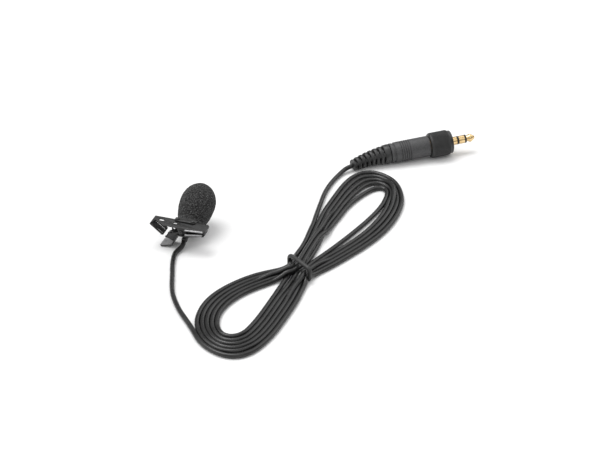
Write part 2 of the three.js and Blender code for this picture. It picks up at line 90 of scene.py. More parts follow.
def make_camera():
    ahead = Vector((
        -math.sin(CAMERA_TURN) * math.cos(CAMERA_HEIGHT),
        math.cos(CAMERA_TURN) * math.cos(CAMERA_HEIGHT),
        -math.sin(CAMERA_HEIGHT),
    ))
    data = bpy.data.cameras.new("camera")
    data.angle = CAMERA_VIEW
    data.clip_start = 0.01
    data.clip_end = 20
    camera = bpy.data.objects.new("camera", data)
    bpy.context.scene.collection.objects.link(camera)
    camera.location = (LOOK_AT - ahead * CAMERA_DISTANCE) / 1000
    camera.rotation_euler = ahead.to_track_quat("-Z", "Y").to_euler()
    bpy.context.scene.camera = camera


make_camera()


# ---- materials ----
class Paint:
    """A material's node tree, with short ways to add the nodes that these materials share."""

    def __init__(self, name, color, roughness, metallic=0.0):
        self.material = bpy.data.materials.new(name)
        self.material.use_nodes = True
        self.tree = self.material.node_tree
        self.shader = self.tree.nodes["Principled BSDF"]
        self.shader.inputs["Base Color"].default_value = (*color, 1)
        self.shader.inputs["Roughness"].default_value = roughness
        self.shader.inputs["Metallic"].default_value = metallic
        self.place = self.tree.nodes.new("ShaderNodeTexCoord").outputs["Object"]

    def link(self, source, target):
        self.tree.links.new(source, target)

    def noise(self, scale, detail=3.0, roughness=0.55):
        node = self.tree.nodes.new("ShaderNodeTexNoise")
        node.inputs["Scale"].default_value = scale
        node.inputs["Detail"].default_value = detail
        node.inputs["Roughness"].default_value = roughness
        self.link(self.place, node.inputs["Vector"])
        return node.outputs["Fac"]

    def cells(self, scale, feature="F1"):
        node = self.tree.nodes.new("ShaderNodeTexVoronoi")
        node.feature = feature
        node.inputs["Scale"].default_value = scale
        self.link(self.place, node.inputs["Vector"])
        return node.outputs["Distance"]

    def ramp(self, source, stops):
        node = self.tree.nodes.new("ShaderNodeValToRGB")
        points = node.color_ramp.elements
        while len(points) < len(stops):
            points.new(0.5)
        for point, (place, color) in zip(points, stops):
            point.position = place
            point.color = (*color, 1)
        self.link(source, node.inputs["Fac"])
        return node.outputs["Color"]

    def spread(self, source, low, high, start=0.3, end=0.7):
        node = self.tree.nodes.new("ShaderNodeMapRange")
        node.inputs["From Min"].default_value = start
        node.inputs["From Max"].default_value = end
        node.inputs["To Min"].default_value = low
        node.inputs["To Max"].default_value = high
        self.link(source, node.inputs["Value"])
        return node.outputs["Result"]

    def color(self, source):
        self.link(source, self.shader.inputs["Base Color"])
        return self

    def roughness(self, source):
        self.link(source, self.shader.inputs["Roughness"])
        return self

    def bump(self, *layers):
        """Each layer is a height and its depth in millimetres."""
        below = None
        for height, depth in layers:
            node = self.tree.nodes.new("ShaderNodeBump")
            node.inputs["Distance"].default_value = depth / 1000
            self.link(height, node.inputs["Height"])
            if below:
                self.link(below, node.inputs["Normal"])
            below = node.outputs["Normal"]
        self.link(below, self.shader.inputs["Normal"])
        return self

    def set(self, **values):
        for name, value in values.items():
            self.shader.inputs[name.replace("_", " ")].default_value = value
        return self


def gray(value, tint=0.0):
    return (value, value, value * (1 + tint))


def black_steel():
    paint = Paint("black_steel", gray(0.02), 0.4, 0.2)
    tones = [(0.35, gray(0.012)), (0.6, gray(0.03)), (0.72, gray(0.06))]
    paint.color(paint.ramp(paint.noise(1500, 4), tones))
    paint.roughness(paint.spread(paint.noise(900, 5), 0.34, 0.52))
    return paint.bump((paint.noise(2600, 3), 0.02), (paint.noise(300, 2), 0.02))


# painted reflection: a lighter satin steel that stands for the lamps' reflection on the clip's glossy black
# coating, used on the thumb tab and the jaw hems
def spring_steel():
    paint = Paint("spring_steel", gray(0.3), 0.34, 0.9)
    paint.color(paint.ramp(paint.noise(900, 4), [(0.3, gray(0.24)), (0.7, gray(0.42, 0.02))]))
    paint.roughness(paint.spread(paint.noise(1400, 4), 0.28, 0.46))
    return paint.bump((paint.noise(2200, 3), 0.02))


def bright_steel():
    paint = Paint("bright_steel", gray(0.6), 0.25, 1.0)
    paint.color(paint.ramp(paint.noise(700, 4), [(0.3, gray(0.48)), (0.7, gray(0.68))]))
    paint.roughness(paint.spread(paint.noise(1500, 4), 0.18, 0.36))
    return paint.bump((paint.noise(2500, 3), 0.005))


def black_brass():
    paint = Paint("black_brass", gray(0.012), 0.36)
    paint.color(paint.ramp(paint.noise(600, 4), [(0.3, gray(0.008)), (0.7, gray(0.02))]))
    paint.roughness(paint.spread(paint.noise(1200, 4), 0.3, 0.48))
    return paint.bump((paint.noise(2800, 3), 0.012))


def foam():
    paint = Paint("foam", gray(0.05), 0.95)
    cells = paint.cells(2100)
    specks = [(0.0, gray(0.3)), (0.14, gray(0.13)), (0.3, gray(0.05)), (0.6, gray(0.02)), (1.0, gray(0.008))]
    paint.color(paint.ramp(cells, specks))
    paint.set(Sheen_Weight=0.08, Sheen_Roughness=0.5, Specular_IOR_Level=0.15)
    return paint.bump((paint.noise(2600, 4), 0.12))


def cord_pvc():
    paint = Paint("cord_pvc", gray(0.01), 0.27)
    paint.color(paint.ramp(paint.noise(180, 3), [(0.3, gray(0.006)), (0.7, gray(0.014))]))
    paint.roughness(paint.spread(paint.noise(420, 4), 0.2, 0.36))
    return paint.bump((paint.noise(1500, 3), 0.016), (paint.noise(160, 2), 0.05))


def black_rubber():
    paint = Paint("black_rubber", gray(0.022), 0.42)
    paint.color(paint.ramp(paint.noise(300, 3), [(0.3, gray(0.014)), (0.7, gray(0.034))]))
    paint.roughness(paint.spread(paint.noise(700, 4), 0.34, 0.52))
    return paint.bump((paint.noise(2600, 3), 0.02))


def plug_plastic():
    paint = Paint("plug_plastic", gray(0.05), 0.5)
    paint.color(paint.ramp(paint.cells(2600), [(0.0, gray(0.085, 0.03)), (0.6, gray(0.045, 0.03))]))
    paint.roughness(paint.spread(paint.noise(900, 4), 0.42, 0.58))
    return paint.bump((paint.cells(2600), 0.03))


def gold():
    paint = Paint("gold", (0.72, 0.48, 0.18), 0.2, 1.0)
    tones = [(0.3, (0.66, 0.45, 0.2)), (0.7, (0.82, 0.62, 0.34))]
    paint.color(paint.ramp(paint.noise(500, 4), tones))
    paint.roughness(paint.spread(paint.noise(1500, 4), 0.12, 0.24))
    return paint.bump((paint.noise(2200, 3), 0.004))


def nylon():
    paint = Paint("nylon", gray(0.012), 0.45)
    paint.color(paint.ramp(paint.noise(600, 3), [(0.3, gray(0.008)), (0.7, gray(0.018))]))
    return paint.bump((paint.noise(2400, 3), 0.006))


def board_green():
    paint = Paint("board_green", (0.03, 0.14, 0.06), 0.4)
    tones = [(0.4, (0.02, 0.12, 0.05)), (0.55, (0.05, 0.2, 0.09))]
    paint.color(paint.ramp(paint.cells(1800), tones))
    return paint.bump((paint.noise(1800, 2), 0.01))


def film():
    paint = Paint("film", (0.6, 0.57, 0.48), 0.3)
    tones = [(0.3, (0.54, 0.51, 0.42)), (0.7, (0.66, 0.63, 0.54))]
    paint.color(paint.ramp(paint.noise(800, 3), tones))
    return paint.bump((paint.noise(1500, 2), 0.006))


RECIPES = [
    black_steel, spring_steel, bright_steel, black_brass, foam, cord_pvc, black_rubber, plug_plastic,
    gold, nylon, board_green, film,
]
PAINTS = {recipe.__name__: recipe().material for recipe in RECIPES}


def finish_piece(obj, slot, body, *nodes):
    """Paints a new piece, lets it ride on its body, and has it stand for its CAD nodes."""
    obj.data.materials.clear()
    obj.data.materials.append(PAINTS[slot])
    if body:
        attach(obj, body)
    if nodes:
        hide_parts(*nodes)
    return obj


# ---- the cord: one length of cable, from the boot through the hank to the plug ----
MIC_LEAD = [
    (0.5, -16.2), (1.2, -20.2), (2.7, -24.8), (5.1, -30.9), (7.5, -37.1), (10.1, -42.6),
    (13.3, -47.4), (16.8, -51.8), (20.4, -55.5), (24.3, -59.4), (27.4, -62.6),
]
PLUG_LEAD = [
    (45.6, -5.4), (45.7, -1.5), (46.2, 3.0), (46.3, 8.9), (45.3, 18.8), (43.9, 27.0),
    (42.7, 36.0), (41.8, 45.0), (42.0, 52.5),
]
PLUG_LIFT = (43.0, 59.0, 1.1)
TURNS = 5
LAYER = 1.62
STEP = 1.25


def lerp(a, b, share):
    return a + (b - a) * share


class Loop:
    """One end of the hank: teardrops that start at the waist, the outermost and the innermost given.
    tip is the far end, half the half width and bow the sideways push of the middle."""

    def __init__(self, tips, halves, bows, gather):
        self.tips = [np.array(tip, float) for tip in tips]
        self.halves = halves
        self.bows = bows
        self.gather = gather

    def points(self, inward, slots, layers, start=0.0, end=1.0, count=34):
        """inward gives how far the turn lies towards the innermost: on its first side, tip and second side.
        slots and layers give its place across and up the waist, where it starts and where it ends."""
        made = []
        for index in range(count):
            turn = lerp(start, end, index / (count - 1))
            along = (1 - math.cos(2 * math.pi * turn)) / 2
            first = turn < 0.5
            share = lerp(inward[0] if first else inward[2], inward[1], along ** 4)
            tip = lerp(self.tips[0], self.tips[1], share)
            lean = tip - WAIST
            normal = np.array([abs(lean[1]), -lean[0] * np.sign(lean[1])]) / np.linalg.norm(lean)
            swell = 2 * along * math.sqrt(max(1 - along, 0))
            slot = (slots[0] if first else slots[1]) * (1 - along) ** self.gather
            side = 1 if (first == (lean[1] > 0)) else -1
            across = side * lerp(*self.halves, share) * swell + slot
            across += lerp(*self.bows, share) * math.sin(2 * math.pi * turn) ** 2
            place = WAIST + lean * along + normal * across
            layer = layers[0] if first else layers[1]
            made.append([*place, LYING + LAYER * layer * (1 - along) + (TIE_ROD + 0.1) * (1 - along) ** 30])
        return made


UPPER = Loop([(56.9, 65.2), (65.4, 57.6)], (17.6, 8.2), (6.4, -1.4), 9)
LOWER = Loop([(40.3, -71.3), (37.4, -62.6)], (18.6, 10.4), (-6.2, -4.0), 2)
# at the waist: where each turn goes up on the right and comes down on the left, and in which layer
UP_SLOTS = [(4.75, 0), (2.85, 0), (3.8, 1), (1.9, 1), (0.95, 0), (-3.8, 1)]
DOWN_SLOTS = [(-4.75, 0), (-2.85, 0), (-1.9, 1), (-0.95, 0), (0.0, 1)]
UPPER_INWARD = [(0.0, 0.0, 0.0), (0.12, 0.2, 0.25), (0.42, 0.42, 0.5), (0.55, 0.64, 0.75), (1.0, 1.0, 1.0)]
LOWER_INWARD = [(0.0, 0.3, 0.12), (0.25, 0.5, 0.3), (0.5, 0.65, 0.5), (0.75, 0.8, 0.72), (1.0, 1.0, 1.0)]


def hank_points():
    made = LOWER.points((0, 0, -0.06), (0, UP_SLOTS[0][0]), (0, 0), start=0.43, end=0.985, count=20)
    for turn in range(TURNS):
        up, down, after = UP_SLOTS[turn], DOWN_SLOTS[turn], UP_SLOTS[turn + 1]
        for loop, inward, first, second in (
            (UPPER, UPPER_INWARD[turn], up, down), (LOWER, LOWER_INWARD[turn], down, after),
        ):
            slots, layers = zip(first, second)
            made += loop.points(inward, slots, layers, start=0.02, end=0.98)
    return made


def smooth_line(points, step):
    """A centripetal Catmull-Rom line through the points, cut into equal steps."""
    line = np.array(points, float)
    ends = [2 * line[0] - line[1], *line, 2 * line[-1] - line[-2]]
    dense = []
    for a, b, c, d in zip(ends, ends[1:], ends[2:], ends[3:]):
        knots = np.cumsum([0] + [np.linalg.norm(q - p) ** 0.5 + 1e-6 for p, q in ((a, b), (b, c), (c, d))])
        for t in np.linspace(knots[1], knots[2], 12, endpoint=False):
            ab = a + (b - a) * (t - knots[0]) / (knots[1] - knots[0])
            bc = b + (c - b) * (t - knots[1]) / (knots[2] - knots[1])
            cd = c + (d - c) * (t - knots[2]) / (knots[3] - knots[2])
            abc = ab + (bc - ab) * (t - knots[0]) / (knots[2] - knots[0])
            bcd = bc + (cd - bc) * (t - knots[1]) / (knots[3] - knots[1])
            dense.append(abc + (bcd - abc) * (t - knots[1]) / (knots[2] - knots[1]))
    dense = np.array([*dense, line[-1]])
    far = np.cumsum([0, *np.linalg.norm(np.diff(dense, axis=0), axis=1)])
    places = np.linspace(0, far[-1], int(far[-1] / step) + 1)
    return np.stack([np.interp(places, far, dense[:, axis]) for axis in range(3)], axis=1)


def nearest_pairs(line, reach):
    """Points of the line that are close to each other, but not along the cord."""
    found = []
    apart = int(3 * CORD / STEP)
    for start in range(0, len(line), 200):
        part = line[start:start + 200]
        distance = np.linalg.norm(part[:, None] - line[None], axis=2)
        rows, columns = np.nonzero(distance < reach)
        rows += start
        keep = columns - rows > apart
        found.append(np.stack([rows[keep], columns[keep]], axis=1))
    return np.concatenate(found)


def tie_bars():
    """The tie's four bars as segments through the middle of its rod."""
    half, low, high = (TIE_LENGTH - TIE_ROD) / 2, TIE_ROD / 2, TIE_HEIGHT - TIE_ROD / 2
    along = np.array([math.cos(TIE_TURN), math.sin(TIE_TURN), 0])
    middle = np.array([*WAIST, 0])
    corners = [middle + side * half * along + np.array([0, 0, height])
               for side, height in ((-1, low), (1, low), (1, high), (-1, high))]
    return list(zip(corners, corners[1:] + corners[:1]))


def keep_off_bars(line, bars, clearance):
    for start, end in bars:
        lean = end - start
        share = np.clip((line - start) @ lean / (lean @ lean), 0, 1)
        offset = line - (start + share[:, None] * lean)
        distance = np.linalg.norm(offset, axis=1)
        push = np.clip(clearance - distance, 0, None) / np.maximum(distance, 1e-6)
        line += offset * push[:, None]


def open_tight_bends(line, radius, rounds=500):
    """Smooths the line only where it turns more tightly than radius, seen from above."""
    limit = STEP ** 2 / radius
    for _ in range(rounds):
        bend = line[:-2] + line[2:] - 2 * line[1:-1]
        excess = np.clip(np.linalg.norm(bend[:, :2], axis=1) / limit - 1, 0, 1)
        share = np.convolve(excess, np.ones(5) / 5, "same")
        line[1:-1] += 0.4 * bend * np.minimum(share, 1)[:, None]
    return line


# each round of settling: millimetres sunk, the share of the way back home, and how often to look for pairs
SINK = 0.05
HOLD = 0.02
PAIRS_EVERY = 8
ROUNDS, QUICK_ROUNDS = 320, 60
FIXED_POINTS = 12


def settle(line, fixed, rounds):
    """Lets the cord sink onto the floor and itself, each stretch held near its place in the hank."""
    home = line.copy()
    weight = np.ones(len(line))
    weight[:fixed] = 0
    weight[-fixed:] = 0
    bars = tie_bars()
    for turn in range(rounds):
        if turn % PAIRS_EVERY == 0:
            pairs = nearest_pairs(line, 1.6 * CORD)
        before = line.copy()
        line[:, 2] -= SINK
        line[:, :2] += HOLD * (home[:, :2] - line[:, :2])
        for _ in range(2):
            moved = line - home
            line[1:-1, :2] += 0.25 * (moved[:-2] + moved[2:] - 2 * moved[1:-1])[:, :2]
            line[1:-1, 2] += 0.25 * (line[:-2, 2] + line[2:, 2] - 2 * line[1:-1, 2])
        offset = line[pairs[:, 0]] - line[pairs[:, 1]]
        distance = np.maximum(np.linalg.norm(offset, axis=1), 1e-4)
        push = np.clip(CORD + 0.03 - distance, 0, None) / distance * 0.4
        shift = offset * push[:, None]
        np.add.at(line, pairs[:, 0], shift)
        np.add.at(line, pairs[:, 1], -shift)
        keep_off_bars(line, bars, CORD / 2 + TIE_ROD / 2 - 0.05)
        line[:, 2] = np.maximum(line[:, 2], LYING)
        line[:] = before + (line - before) * weight[:, None]
    return line


def cord_line():
    mic_end = [tuple(RING + MIC_AXIS * along) for along in (BOOT_END - 0.05, BOOT_END - 2.2)]
    plug_end = [tuple(RELIEF_REAR + REAR_AXIS * along) for along in (-3.2, -1.6, -0.05)]
    start = mic_end + [(x, y, LYING) for x, y in MIC_LEAD]
    end = [(x, y, LYING) for x, y in PLUG_LEAD] + [PLUG_LIFT] + plug_end
    line = smooth_line(start + hank_points() + end, STEP)
    loose = slice(FIXED_POINTS, -FIXED_POINTS)
    line[loose] = open_tight_bends(line[loose], 3.3 * CORD)
    return settle(line, FIXED_POINTS, ROUNDS)


def make_cord():
    line = cord_line() / 1000
    data = bpy.data.curves.new("cord", "CURVE")
    data.dimensions = "3D"
    data.bevel_depth = CORD / 2000
    data.bevel_resolution = 4
    data.use_fill_caps = True
    spline = data.splines.new("POLY")
    spline.points.add(len(line) - 1)
    for point, place in zip(spline.points, line):
        point.co = (*place, 1)
    spline.use_smooth = True
    cord = bpy.data.objects.new("cord", data)
    bpy.context.scene.collection.objects.link(cord)
    finish_piece(cord, "cord_pvc", "microphone", "mic_lead", "hank", "plug_lead")
    length = float(np.linalg.norm(np.diff(line, axis=0), axis=1).sum())
    return cord, length


CORD_PIECE, CORD_LENGTH = make_cord()


# ---- mesh helpers ----
def add_object(name, bm, smooth_angle=35):
    data = bpy.data.meshes.new(name)
    bmesh.ops.recalc_face_normals(bm, faces=bm.faces)
    bm.to_mesh(data)
    bm.free()
    data.shade_smooth()
    data.set_sharp_from_angle(angle=math.radians(smooth_angle))
    obj = bpy.data.objects.new(name, data)
    bpy.context.scene.collection.objects.link(obj)
    return obj


def turned(profile, segments=72, shape=None):
    """A closed profile of (radius, along) pairs turned about the local Y axis. shape may change a radius
    by its place in the profile and its angle."""
    bm = bmesh.new()
    rings = []
    for index, (radius, along) in enumerate(profile):
        if radius < 1e-6:
            rings.append([bm.verts.new(mm(0, along, 0))])
            continue
        ring = []
        for step in range(segments):
            angle = 2 * math.pi * step / segments
            here = radius + (shape(index, angle) if shape else 0)
            ring.append(bm.verts.new(mm(here * math.cos(angle), along, here * math.sin(angle))))
        rings.append(ring)
    closed = len(rings[0]) > 1
    for below, above in zip(rings, rings[1:] + (rings[:1] if closed else [])):
        for step in range(segments):
            after = (step + 1) % segments
            corners = [below[step % len(below)], below[after % len(below)],
                       above[after % len(above)], above[step % len(above)]]
            corners = list(dict.fromkeys(corners))
            if len(corners) > 2:
                bm.faces.new(corners)
    return bm


def frame_matrix(origin, axis):
    """Turns local +Y onto axis, at origin."""
    turn = Vector((0, 1, 0)).rotation_difference(axis).to_matrix().to_4x4()
    return Matrix.Translation(Vector(origin) / 1000) @ turn


MIC_FRAME = frame_matrix(RING, MIC_AXIS)
PLUG_FRAME = frame_matrix(PLUG_START, PLUG_AXIS)


def place(obj, matrix):
    obj.data.transform(matrix)
    return obj


# ---- stage ----
def make_stage():
    bpy.ops.mesh.primitive_plane_add(size=6)
    floor = bpy.context.object
    floor.name = "floor"
    paint = bpy.data.materials.new("floor")
    paint.use_nodes = True
    shader = paint.node_tree.nodes["Principled BSDF"]
    shader.inputs["Base Color"].default_value = (0.86, 0.86, 0.86, 1)
    shader.inputs["Roughness"].default_value = 0.9
    shader.inputs["Specular IOR Level"].default_value = 0.1
    floor.data.materials.append(paint)
    world = bpy.data.worlds.new("studio")
    world.use_nodes = True
    world.node_tree.nodes["Background"].inputs["Color"].default_value = (1, 1, 1, 1)
    world.node_tree.nodes["Background"].inputs["Strength"].default_value = 0.4
    bpy.context.scene.world = world
    bpy.context.scene.view_settings.view_transform = "Standard"


def make_sun(name, azimuth, height, strength, spread):
    """A soft far light. azimuth is counted from +X towards +Y, in degrees."""
    data = bpy.data.lights.new(name, "SUN")
    data.energy = strength
    data.angle = math.radians(spread)
    light = bpy.data.objects.new(name, data)
    turn, rise = math.radians(azimuth), math.radians(height)
    towards = Vector((math.cos(turn) * math.cos(rise), math.sin(turn) * math.cos(rise), math.sin(rise)))
    light.rotation_euler = towards.to_track_quat("Z", "Y").to_euler()
    bpy.context.scene.collection.objects.link(light)


make_stage()
make_sun("top", 150, 68, 1.5, 34)
make_sun("left", 205, 42, 1.0, 60)
make_sun("back", 60, 45, 0.9, 60)
make_sun("front", 300, 55, 0.6, 60)


# ---- shapes cut from sheet, and rods ----
def rounded(points, radius, closed=True):
    """The points with each corner turned into an arc. radius may be one number, or one for each point."""
    corners = [Vector(point).to_2d() for point in points]
    radii = radius if isinstance(radius, (list, tuple)) else [radius] * len(corners)
    made = []
    for index, corner in enumerate(corners):
        if not closed and index in (0, len(corners) - 1):
            made.append(tuple(corner))
            continue
        ahead = (corners[(index + 1) % len(corners)] - corner)
        back = (corner - corners[index - 1])
        reach = min(ahead.length, back.length) * 0.49
        ahead.normalize()
        back.normalize()
        turn = math.atan2(back.cross(ahead), back.dot(ahead))
        tangent = min(radii[index] * math.tan(abs(turn) / 2), reach)
        if tangent < 1e-4:
            made.append(tuple(corner))
            continue
        size = tangent / math.tan(abs(turn) / 2)
        side = Vector((-back.y, back.x)) * math.copysign(1, turn)
        centre = corner - back * tangent + side * size
        steps = max(2, int(abs(turn) / 0.2))
        for step in range(steps + 1):
            angle = turn * step / steps
            spoke = -side * size
            made.append(tuple(centre + Matrix.Rotation(angle, 2) @ spoke))
    return made


def round_hole(x, y, radius, count=24):
    angles = [2 * math.pi * step / count for step in range(count)]
    return [(x + radius * math.cos(angle), y + radius * math.sin(angle)) for angle in angles]


def slot_hole(x, y, length, width):
    half = length / 2
    return rounded([(x - half, y - width / 2), (x + half, y - width / 2), (x + half, y + width / 2),
                    (x - half, y + width / 2)], width * 0.48)


def curve_mesh(curve, name):
    holder = bpy.data.objects.new(name, curve)
    bpy.context.scene.collection.objects.link(holder)
    depsgraph = bpy.context.evaluated_depsgraph_get()
    data = bpy.data.meshes.new_from_object(holder.evaluated_get(depsgraph))
    bpy.data.objects.remove(holder)
    bm = bmesh.new()
    bm.from_mesh(data)
    bpy.data.meshes.remove(data)
    bmesh.ops.remove_doubles(bm, verts=bm.verts, dist=1e-6)
    return bm


def flat_sheet(outline, holes, thickness, edge=0.07):
    """A sheet in the local x-y plane, its middle at z = 0, with softened edges."""
    curve = bpy.data.curves.new("sheet", "CURVE")
    curve.dimensions = "2D"
    curve.fill_mode = "BOTH"
    curve.extrude = (thickness / 2 - edge) / 1000
    curve.bevel_depth = edge / 1000
    curve.bevel_resolution = 1
    curve.offset = -edge / 1000
    for points in [outline, *holes]:
        spline = curve.splines.new("POLY")
        spline.points.add(len(points) - 1)
        for point, (x, y) in zip(spline.points, points):
            point.co = (x / 1000, y / 1000, 0, 1)
        spline.use_cyclic_u = True
    return curve_mesh(curve, "sheet")


def rod_along(points, radius, closed=False):
    curve = bpy.data.curves.new("rod", "CURVE")
    curve.dimensions = "3D"
    curve.bevel_depth = radius / 1000
    curve.bevel_resolution = 5
    curve.use_fill_caps = not closed
    spline = curve.splines.new("POLY")
    spline.points.add(len(points) - 1)
    for point, place_mm in zip(spline.points, points):
        point.co = (*mm(*place_mm), 1)
    spline.use_cyclic_u = closed
    return curve_mesh(curve, "rod")


class Bend:
    """A bent line in the clip's x-z plane. A sheet's local x runs along it, and its z stands off from it."""

    def __init__(self, corners, radii):
        line = np.array(rounded(corners, radii, closed=False))
        steps = np.linalg.norm(np.diff(line, axis=0), axis=1)
        keep = np.concatenate([[True], steps > 1e-5])
        self.line = line[keep]
        steps = np.linalg.norm(np.diff(self.line, axis=0), axis=1)
        self.far = np.concatenate([[0], np.cumsum(steps)])
        self.heading = np.unwrap(np.arctan2(*np.diff(self.line, axis=0).T[::-1]))
        self.middles = (self.far[1:] + self.far[:-1]) / 2

    def at(self, x):
        """How far along the line the place is that has this x, on its last crossing of it."""
        crossings = [index for index in range(len(self.line) - 1)
                     if (self.line[index][0] - x) * (self.line[index + 1][0] - x) <= 0]
        index = crossings[-1]
        (x0, _), (x1, _) = self.line[index], self.line[index + 1]
        return self.far[index] + (self.far[index + 1] - self.far[index]) * (x - x0) / (x1 - x0)

    def apply(self, bm):
        for cut in self.far[1:-1]:
            geometry = bm.verts[:] + bm.edges[:] + bm.faces[:]
            bmesh.ops.bisect_plane(bm, geom=geometry, plane_co=mm(cut, 0, 0), plane_no=(1, 0, 0))
        for vert in bm.verts:
            along, across, off = vert.co * 1000
            heading = np.interp(along, self.middles, self.heading)
            x = np.interp(along, self.far, self.line[:, 0]) - off * math.sin(heading)
            z = np.interp(along, self.far, self.line[:, 1]) + off * math.cos(heading)
            overrun = along - min(max(along, 0), self.far[-1])
            x, z = x + overrun * math.cos(heading), z + overrun * math.sin(heading)
            vert.co = clip_point(x, across, z)
        return bm


def clip_point(x, y, z):
    return mm(CLIP_LEFT + x, CLIP_NEAR + y, CLIP_TOP + z)


def side_sheet(outline, holes, thickness, middle):
    """A sheet that stands in the clip's x-z plane, its middle at y = middle."""
    bm = flat_sheet(outline, holes, thickness)
    for vert in bm.verts:
        x, z, y = vert.co * 1000
        vert.co = clip_point(x, middle + y, z)
    return bm


def joined(*parts):
    """One bmesh out of several."""
    whole = bmesh.new()
    for part in parts:
        data = bpy.data.meshes.new("part")
        part.to_mesh(data)
        part.free()
        whole.from_mesh(data)
        bpy.data.meshes.remove(data)
    return whole


# ---- clip: the top plate and its spring leaf are one folded sheet ----
PIVOT = (13.2, -2.05)
EAR_RADIUS = 1.05
SHEET = 0.5
CLIP_LINE = Bend([(5.5, -4.9), (-0.15, -0.25), (CLIP_LENGTH, -0.25)], [0, 0.32, 0])


def clip_sheet():
    at = CLIP_LINE.at
    notch_near, notch_in, notch_end = at(0.75), at(1.5), at(5.2)
    outline = rounded([
        (0, 0.5), (0.5, 0), (notch_near, 0), (notch_in, 2.6), (notch_end, 0.35), (notch_end + 0.4, 0),
        (at(CLIP_LENGTH) - 0.7, 0), (at(CLIP_LENGTH), 0.7), (at(CLIP_LENGTH), CLIP_WIDTH - 0.7),
        (at(CLIP_LENGTH) - 0.7, CLIP_WIDTH), (0.3, CLIP_WIDTH), (0, CLIP_WIDTH - 0.3),
    ], [0.2, 0.2, 0.25, 0.12, 0.3, 0.2, 0.3, 0.3, 0.3, 0.3, 0.2, 0.2])
    holes = [
        slot_hole(at(3.9), 3.35, 2.3, 1.25), slot_hole(at(9.9), 2.75, 2.1, 0.95),
        slot_hole(1.9, 0.95, 2.9, 0.55), slot_hole(2.9, 3.7, 5.0, 0.6),
    ]
    sheet = CLIP_LINE.apply(flat_sheet(outline, holes, SHEET))
    ear = rounded([
        (PIVOT[0] - 1.9, -0.3), (PIVOT[0] - EAR_RADIUS, PIVOT[1]), (PIVOT[0] - 0.75, -2.95),
        (PIVOT[0] + 0.75, -2.95), (PIVOT[0] + EAR_RADIUS, PIVOT[1]), (PIVOT[0] + 2.2, -0.3),
    ], [0.05, 0.6, 0.6, 0.6, 0.6, 0.05])
    ears = [side_sheet(ear, [round_hole(*PIVOT, 0.6)], 0.6, y) for y in (0.32, CLIP_WIDTH - 0.32)]
    tooth = rounded([(21.3, -0.3), (22.1, -1.4), (22.8, -1.4), (23.1, -0.3)], 0.12)
    jaw = side_sheet(tooth, [], CLIP_WIDTH - 0.8, CLIP_WIDTH / 2)
    return add_object("clip_sheet", joined(sheet, *ears, jaw))


plate = clip_sheet()
finish_piece(plate, "black_steel", None, "clip_top_plate", "clip_spring_leaf")
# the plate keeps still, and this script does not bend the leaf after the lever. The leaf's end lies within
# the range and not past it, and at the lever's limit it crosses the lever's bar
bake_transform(plate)


# ---- lever: thumb tab, ramp and lower jaw, with side ears on the pin ----
LEVER_SHEET = 0.6
LEVER_LINE = Bend(
    [(4.0, -10.06), (9.15, -8.55), (11.5, -3.85), (15.1, -3.75), (21.4, -2.2), (22.5, -2.4)],
    [0, 0.7, 0.8, 2.0, 1.0, 0],
)


def lever_piece():
    end = LEVER_LINE.far[-1]
    tab = LEVER_LINE.at(9.15)
    outline = rounded([
        (0, 0.5), (0.4, 0), (tab, 0), (end - 0.5, 0.0), (end, 0.5), (end, CLIP_WIDTH - 0.5),
        (end - 0.5, CLIP_WIDTH), (0.4, CLIP_WIDTH), (0, CLIP_WIDTH - 0.5),
    ], 0.25)
    sheet = LEVER_LINE.apply(flat_sheet(outline, [], LEVER_SHEET, 0.12))
    ear = rounded([
        (9.3, -7.6), (7.4, -6.6), (6.0, -6.45), (6.0, -5.8),
        (7.2, -5.4), (7.75, -4.2), (7.8, -3.2), (8.7, -2.55),
        (9.5, -3.0), (9.7, -3.75), (11.7, -2.95), (12.2, -1.9), (12.5, -1.1), (13.2, -0.95), (14.1, -1.3),
        (14.3, -2.2), (15.2, -3.3), (15.0, -3.8), (11.6, -3.9), (11.1, -4.5),
    ], [0.1, 0.3, 0.1, 0.1, 0.3, 0.3, 0.5, 0.5, 0.5, 0.2, 0.3, 0.3, 0.4, 0.5, 0.5, 0.3, 0.1, 0.1, 0.1, 0.3])
    holes = [round_hole(8.7, -3.5, 0.45), round_hole(*PIVOT, 0.6)]
    ears = [side_sheet(ear, holes, 0.5, y) for y in (1.32, CLIP_WIDTH - 1.32)]
    bar = rod_along([(CLIP_LEFT + 6.4, CLIP_NEAR + y, CLIP_TOP - 6.1) for y in (1.3, CLIP_WIDTH - 1.3)], 0.3)
    return add_object("clip_lever_sheet", joined(sheet, *ears, bar))


lever = finish_piece(lever_piece(), "black_steel", "lever", "clip_lever")
# the thumb tab's upward-facing faces are painted in the lighter sheen steel: a painted reflection of the
# lamps on the glossy black coating
lever.data.materials.append(PAINTS["spring_steel"])
for face in lever.data.polygons:
    if face.center.z < 0.0021 and face.normal.z > 0.2:
        face.material_index = 1


def jaw_hem(name, body, start, end, radius):
    """A rolled near edge of one jaw, in the lighter sheen steel: a painted highlight along the edge."""
    places = [lerp(np.array(start), np.array(end), share) for share in np.linspace(0, 1, 12)]
    points = [clip_point(*place_mm) * 1000 for place_mm in places]
    finish_piece(add_object(name, rod_along(points, radius)), "spring_steel", body)


jaw_hem("plate_hem", "clip", (14.9, -0.12, -0.75), (22.3, -0.12, -0.2), 0.36)
jaw_hem("lever_hem", "lever", (14.9, -0.12, -2.85), (21.9, -0.12, -1.65), 0.4)


# ---- holder ring, rivets and pin ----
def open_ring(radius, mouth, count):
    """A circle with a gap of half width mouth at its foot."""
    start = math.asin(mouth / radius)
    angles = np.linspace(start, 2 * math.pi - start, count)
    return [(radius * math.sin(angle), -radius * math.cos(angle)) for angle in angles]


